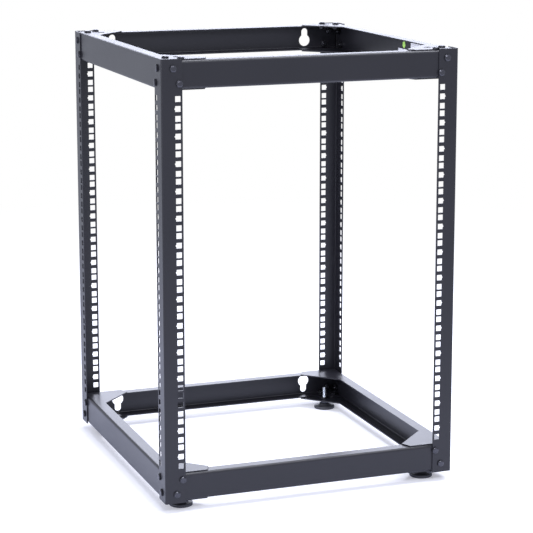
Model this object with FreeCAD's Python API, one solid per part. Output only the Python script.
"""Four post open frame rack, desk height, for 19 inch equipment.

Four angle posts with square holes in both flanges stand at the corners.
A top frame and a bottom frame, each of two side beams and two cross beams,
tie them together. The side beams widen into corner gussets that lap over the
ends of the cross beams, and four levelling feet carry the bottom gussets.

Frame: origin on the floor, in the middle of the footprint. +X is to the
right, +Y to the rear, +Z up. The front of the rack faces -Y. Millimetres.
"""
import FreeCAD
import Part

import math
import os

from FreeCAD import Vector

# ---------------------------------------------------------------- sizes
# Whole rack; the posts' flanges leave a clear opening of 450 mm across
overall_width = 520.7
overall_depth = 531.4
post_flange = 35.35
sheet = 2.0
post_bend_inside_radius = 1.0

# Equipment holes
rack_units = 14
unit_height = 44.45
hole_from_unit_edge = 6.35
hole_from_flange_edge = 7.55
square_hole = 9.5
arrow_depth = 1.6
arrow_base = 4.6
post_end_margin = 57.85

# Beams; the two frames lie a little inside the ends of the posts
frame_inset = 1.0
side_beam_height = 50.0
beam_flange = 22.0
beam_bend_inside_radius = 2.5
gusset_reach = 83.0
gusset_nose_reach = 75.0

# Keyholes in the two rear cross beams
keyhole_spacing = 381.0
keyhole_head_diameter = 22.0
keyhole_slot_width = 12.5
keyhole_slot_travel = 16.65

# Screw holes: distances from a post flange's free edge and from the post's end
screw_hole = 6.6
flange_screws = ((15.35, 15.5), (4.85, 40.0))
# Upright screws through the gussets: distances in from the side and the front
cross_beam_screw = (36.5, 11.0)
corner_ear_screw = (16.5, 30.6)
ear_margin = 10.5

# Levelling feet
foot_inset_x = 39.0
foot_inset_y = 39.5
foot_hole = 13.0
floor_gap = 16.5
pad_diameter = 40.0
pad_rim_height = 5.5
pad_edge_round = 1.6
pad_height = 9.5
pad_hub_diameter = 19.0
stud_diameter = 8.0
stud_above_gusset = 22.0
stud_socket_depth = 4.5
stud_end_chamfer = 0.8
hex_across_flats = 13.0
insert_bore_clearance = 0.1
insert_barrel_clearance = 0.1
insert_flange_diameter = 17.0
insert_flange = 1.2
insert_collar_diameter = 15.0
insert_collar = 2.2
foot_stop_gap = 0.3

# ---------------------------------------------------------------- derived
half_width = overall_width / 2
half_depth = overall_depth / 2
post_bend_outside_radius = post_bend_inside_radius + sheet
beam_bend_outside_radius = beam_bend_inside_radius + sheet
units_height = rack_units * unit_height
post_length = units_height + 2 * post_end_margin
post_bottom = floor_gap
post_top = post_bottom + post_length
frame_bottom = post_bottom + frame_inset
frame_top = post_top - frame_inset
units_bottom = post_bottom + post_end_margin
hole_heights_in_unit = (hole_from_unit_edge, unit_height / 2, unit_height - hole_from_unit_edge)
hole_column_inset = post_flange - hole_from_flange_edge
screw_places = [(post_flange - from_edge, from_end) for from_edge, from_end in flange_screws]
stud_top = frame_bottom + sheet + stud_above_gusset

# Layers at a corner, measured in from the outer face of the post. A cross
# beam starts where the inside bend of the side beam beside it ends.
beam_face = sheet
flange_edge = beam_face + beam_flange
side_beam_end = beam_face + beam_bend_outside_radius
cross_beam_end = beam_face + sheet + beam_bend_inside_radius
cross_beam_height = side_beam_height - 2 * sheet


# ---------------------------------------------------------------- helpers
def prism(points, low, high):
    """Upright prism over an outline given as (x, y) pairs."""
    corners = [Vector(x, y, low) for x, y in points]
    face = Part.Face(Part.makePolygon(corners + corners[:1]))
    return face.extrude(Vector(0, 0, high - low))


def block(low, high):
    """Box between two opposite corners."""
    size = [top - bottom for bottom, top in zip(low, high)]
    return Part.makeBox(*size, Vector(*low))


def joined(first, others):
    """One clean solid from pieces that touch along whole faces."""
    return first.multiFuse(others).removeSplitter()


def turned(outline):
    """Solid of revolution about Z over an outline of (radius, height)."""
    corners = [Vector(radius, 0, height) for radius, height in outline]
    face = Part.Face(Part.makePolygon(corners + corners[:1]))
    return face.revolve(Vector(0, 0, 0), Vector(0, 0, 1), 360)


def arc_points(centre_x, centre_y, radius, start, stop, steps):
    """Points along an arc, start and stop in degrees, both ends included."""
    angles = [start + (stop - start) * i / steps for i in range(steps + 1)]
    return [
        (
            centre_x + radius * math.cos(math.radians(a)),
            centre_y + radius * math.sin(math.radians(a)),
        )
        for a in angles
    ]


def hexagon(across_flats):
    """Corners of a hexagon about the axis, with two flats facing the front and rear."""
    radius = across_flats / math.sqrt(3)
    return arc_points(0, 0, radius, 0, 360, 6)[:6]


def rounded_along(shape, axis, centre, radius):
    """Round the straight edges parallel to one axis that pass a given point."""
    chosen = []
    others = [i for i in range(3) if i != axis]
    for edge in shape.Edges:
        start = edge.Vertexes[0].Point
        stop = edge.Vertexes[-1].Point
        on_line = all(
            abs(point[i] - centre[i]) < 1e-4 for point in (start, stop) for i in others
        )
        if on_line:
            chosen.append(edge)
    return shape.makeFillet(radius, chosen)


def to_corner(shape, side, end):
    """Move a piece made for the front left corner to another corner.

    side is -1 for left and 1 for right, end is -1 for front and 1 for rear.
    """
    moved = shape.copy()
    if side > 0:
        moved = moved.mirror(Vector(0, 0, 0), Vector(1, 0, 0))
    if end > 0:
        moved = moved.mirror(Vector(0, 0, 0), Vector(0, 1, 0))
    return moved


def flipped(shape):
    """Turn a top frame piece over to make its bottom frame twin."""
    middle = (post_bottom + post_top) / 2
    return shape.mirror(Vector(0, 0, middle), Vector(0, 0, 1))


# ---------------------------------------------------------------- posts
def hole_heights():
    """Height of every equipment hole, with a flag on the middle of each unit."""
    for unit in range(rack_units):
        for place, height in enumerate(hole_heights_in_unit):
            yield units_bottom + unit * unit_height + height, place == 1


def square_cut(inset, height, marked):
    """Cutter for one hole of the front flange, inset from the side face.

    The middle hole of a unit has an arrow notch that points to the corner.
    """
    half = square_hole / 2
    outline = [(inset - half, height - half), (inset + half, height - half)]
    outline += [(inset + half, height + half), (inset - half, height + half)]
    if marked:
        base = arrow_base / 2
        outline += [(inset - half, height + base)]
        outline += [(inset - half - arrow_depth, height), (inset - half, height - base)]
    corners = [Vector(x, -sheet, z) for x, z in outline]
    face = Part.Face(Part.makePolygon(corners + corners[:1]))
    return face.extrude(Vector(0, 3 * sheet, 0))


def swapped(shape):
    """Swap X and Y: turns a front flange cutter into a side flange cutter."""
    return shape.mirror(Vector(0, 0, 0), Vector(1, -1, 0))


def post():
    """Angle post of the front left corner, in corner coordinates.

    x runs in from the rack's side face and y in from its front face.
    """
    leg = prism([(0, 0), (post_flange, 0), (post_flange, sheet), (0, sheet)], post_bottom, post_top)
    wing = prism([(0, sheet), (sheet, sheet), (sheet, post_flange), (0, post_flange)], post_bottom, post_top)
    angle = joined(leg, [wing])
    angle = rounded_along(angle, 2, (0, 0, 0), post_bend_outside_radius)
    angle = rounded_along(angle, 2, (sheet, sheet, 0), post_bend_inside_radius)
    cutters = []
    for height, marked in hole_heights():
        cutters.append(square_cut(hole_column_inset, height, marked))
    for inset, from_end in screw_places:
        for height in (post_bottom + from_end, post_top - from_end):
            start = Vector(inset, -sheet, height)
            cutters.append(Part.makeCylinder(screw_hole / 2, 3 * sheet, start, Vector(0, 1, 0)))
    cutters += [swapped(cutter) for cutter in cutters]
    return angle.cut(cutters)


# ---------------------------------------------------------------- beams
def channel(length_axis, start, stop, height):
    """C channel of the top frame, web outside, opening inwards.

    In corner coordinates the web's outer face is beam_face in from the posts.
    length_axis 1 runs front to back with its web at the side; length_axis 0
    runs across with its web at the front.
    """
    top = frame_top - (side_beam_height - height) / 2
    bottom = top - height
    across = 1 - length_axis

    def slab(low_in, high_in, low, high):
        near = [0, 0, low]
        far = [0, 0, high]
        near[length_axis], far[length_axis] = start, stop
        near[across], far[across] = low_in, high_in
        return block(near, far)

    inner = beam_face + sheet
    web = slab(beam_face, inner, bottom, top)
    flanges = [
        slab(inner, flange_edge, top - sheet, top),
        slab(inner, flange_edge, bottom, bottom + sheet),
    ]
    shape = joined(web, flanges)
    for level, way in ((top, -1), (bottom, 1)):
        outside = [0, 0, level]
        outside[across] = beam_face
        shape = rounded_along(shape, length_axis, outside, beam_bend_outside_radius)
        inside = [0, 0, level + way * sheet]
        inside[across] = inner
        shape = rounded_along(shape, length_axis, inside, beam_bend_inside_radius)
    return shape


def gusset(level):
    """Corner gusset in the plane of a side beam's flange, one sheet thick.

    Its long edge runs at 45 degrees and its nose leans back over the cross
    beam, ending where the cross beam's bend begins.
    """
    overlap = sheet
    outline = [
        (flange_edge - overlap, side_beam_end),
        (gusset_nose_reach, side_beam_end),
        (gusset_reach, flange_edge),
        (flange_edge, gusset_reach),
        (flange_edge - overlap, gusset_reach),
    ]
    return prism(outline, level, level + sheet)


def both_ends(shape, axis, total):
    """A piece at one end and its mirror image at the other end."""
    normal = [0, 0, 0]
    normal[axis] = 1
    centre = [0, 0, 0]
    centre[axis] = total / 2
    return [shape, shape.mirror(Vector(*centre), Vector(*normal))]


def upright_hole(place, diameter, low, high):
    """Upright cutter at a corner place, given in from side and front."""
    return Part.makeCylinder(diameter / 2, high - low, Vector(place[0], place[1], low))


def side_beam():
    """Left beam of the top frame, in corner coordinates."""
    shape = channel(1, side_beam_end, overall_depth - side_beam_end, side_beam_height)
    low = frame_top - side_beam_height
    plates = []
    for level in (frame_top - sheet, low):
        plates += both_ends(gusset(level), 1, overall_depth)
    shape = joined(shape, plates)
    outer = (frame_top - 2 * sheet, frame_top + sheet)
    cutters = [
        upright_hole(cross_beam_screw, screw_hole, *outer),
        upright_hole(corner_ear_screw, screw_hole, *outer),
        upright_hole((foot_inset_x, foot_inset_y), foot_hole, *outer),
    ]
    for inset, from_end in screw_places:
        start = Vector(0, inset, post_top - from_end)
        reach = beam_face + 2 * sheet
        cutters.append(Part.makeCylinder(screw_hole / 2, reach, start, Vector(1, 0, 0)))
    cutters = [twin for cutter in cutters for twin in both_ends(cutter, 1, overall_depth)]
    return shape.cut(cutters)


def corner_ear(top):
    """Tab of a cross beam's outer flange under the side beam's flange."""
    far_x = corner_ear_screw[0] + ear_margin
    far_y = corner_ear_screw[1] + ear_margin
    cut = ear_margin / 2
    outline = [
        (cross_beam_end, flange_edge - sheet),
        (far_x, flange_edge - sheet),
        (far_x, far_y - cut),
        (far_x - cut, far_y),
        (cross_beam_end, far_y),
    ]
    return prism(outline, top - sheet, top)


def keyhole(from_left, top):
    """Keyhole cutter, centred in the web: head towards the middle, slot outwards."""
    half_slot = keyhole_slot_width / 2
    head_radius = keyhole_head_diameter / 2
    whole = head_radius + keyhole_slot_travel + half_slot
    head_height = top - (cross_beam_height + whole) / 2 + head_radius
    slot_height = head_height + keyhole_slot_travel
    depth = beam_face + 2 * sheet
    along = Vector(0, 1, 0)
    head = Part.makeCylinder(head_radius, depth, Vector(from_left, 0, head_height), along)
    end = Part.makeCylinder(half_slot, depth, Vector(from_left, 0, slot_height), along)
    neck = block((from_left - half_slot, 0, head_height), (from_left + half_slot, depth, slot_height))
    return joined(head, [end, neck])


def cross_beam(with_keyholes):
    """Front beam of the top frame, in corner coordinates."""
    stop = overall_width - cross_beam_end
    shape = channel(0, cross_beam_end, stop, cross_beam_height)
    top = frame_top - sheet
    shape = joined(shape, both_ends(corner_ear(top), 0, overall_width))
    outer = (top - 2 * sheet, top + sheet)
    cutters = [
        upright_hole(cross_beam_screw, screw_hole, *outer),
        upright_hole(corner_ear_screw, screw_hole, *outer),
    ]
    for inset, from_end in screw_places:
        start = Vector(inset, 0, post_top - from_end)
        reach = beam_face + 2 * sheet
        cutters.append(Part.makeCylinder(screw_hole / 2, reach, start, Vector(0, 1, 0)))
    if with_keyholes:
        cutters.append(keyhole((overall_width - keyhole_spacing) / 2, top))
    cutters = [twin for cutter in cutters for twin in both_ends(cutter, 0, overall_width)]
    return shape.cut(cutters)


# ---------------------------------------------------------------- feet
def threaded_insert():
    """Flanged insert set in a bottom gusset, made about its own axis."""
    bore = stud_diameter / 2 + insert_bore_clearance
    barrel = foot_hole / 2 - insert_barrel_clearance
    under = frame_bottom
    over = frame_bottom + sheet
    collar = insert_collar_diameter / 2
    rim = insert_flange_diameter / 2
    crown = over + insert_collar
    outline = [
        (bore, under - insert_flange),
        (rim, under - insert_flange),
        (rim, under),
        (barrel, under),
        (barrel, over),
        (collar, over),
        (collar, crown - sheet / 2),
        (collar - sheet / 2, crown),
        (bore, crown),
    ]
    return turned(outline)


def foot_pad():
    """Round pad with a rolled lower edge, a domed top and a blind socket."""
    rim = pad_diameter / 2
    hub = pad_hub_diameter / 2
    socket = stud_diameter / 2
    lower = arc_points(rim - pad_edge_round, pad_edge_round, pad_edge_round, -90, 0, 2)
    upper = arc_points(rim - pad_edge_round, pad_rim_height - pad_edge_round, pad_edge_round, 0, 80, 2)
    outline = [(0, 0)] + lower + upper
    outline += [(hub + sheet, pad_height - sheet), (hub, pad_height)]
    outline += [(socket, pad_height), (socket, pad_height - stud_socket_depth)]
    outline += [(0, pad_height - stud_socket_depth)]
    return turned(outline)


def foot_stud():
    """Hexagon collar and stud of a levelling foot, thread left plain."""
    hex_top = frame_bottom - insert_flange - foot_stop_gap
    collar = prism(hexagon(hex_across_flats), pad_height, hex_top)
    start = pad_height - stud_socket_depth
    shank = Part.makeCylinder(stud_diameter / 2, stud_top - start, Vector(0, 0, start))
    tip = [edge for edge in shank.Edges if abs(edge.BoundBox.ZMin - stud_top) < 1e-6]
    shank = shank.makeChamfer(stud_end_chamfer, tip)
    return joined(collar, [shank])


# ---------------------------------------------------------------- assembly
def rack():
    """Every sub-part of the rack by node name, in the rack's own frame."""
    to_rack = Vector(-half_width, -half_depth, 0)
    parts = {}
    sides = {"left": -1, "right": 1}
    ends = {"front": -1, "rear": 1}

    corner_post = post()
    corner_post.translate(to_rack)
    beam_of_side = side_beam()
    beam_of_side.translate(to_rack)
    for side, x_way in sides.items():
        for end, y_way in ends.items():
            parts[f"post_{end}_{side}"] = to_corner(corner_post, x_way, y_way)
        upper = to_corner(beam_of_side, x_way, -1)
        parts[f"top_{side}_beam"] = upper
        parts[f"bottom_{side}_beam"] = flipped(upper)

    for end, y_way in ends.items():
        beam = cross_beam(with_keyholes=end == "rear")
        beam.translate(to_rack)
        upper = to_corner(beam, -1, y_way)
        parts[f"top_{end}_beam"] = upper
        parts[f"bottom_{end}_beam"] = flipped(upper)

    foot_x = half_width - foot_inset_x
    foot_y = half_depth - foot_inset_y
    makers = {"foot_insert": threaded_insert, "foot_pad": foot_pad, "foot_stud": foot_stud}
    for name, make in makers.items():
        shape = make()
        for side, x_way in sides.items():
            for end, y_way in ends.items():
                placed = shape.copy()
                placed.translate(Vector(x_way * foot_x, y_way * foot_y, 0))
                parts[f"{name}_{end}_{side}"] = placed
    return parts


def write(parts):
    """Write one STEP file per sub-part."""
    os.makedirs("parts", exist_ok=True)
    for name, shape in parts.items():
        solid = shape.Solids[0] if len(shape.Solids) == 1 else shape
        solid.exportStep(f"parts/{name}.step")
        box = solid.BoundBox
        size = f"{box.XLength:.1f} x {box.YLength:.1f} x {box.ZLength:.1f}"
        print(f"{name}: {len(shape.Solids)} solid, {size} mm, {shape.Volume / 1000:.1f} cm3")


write(rack())
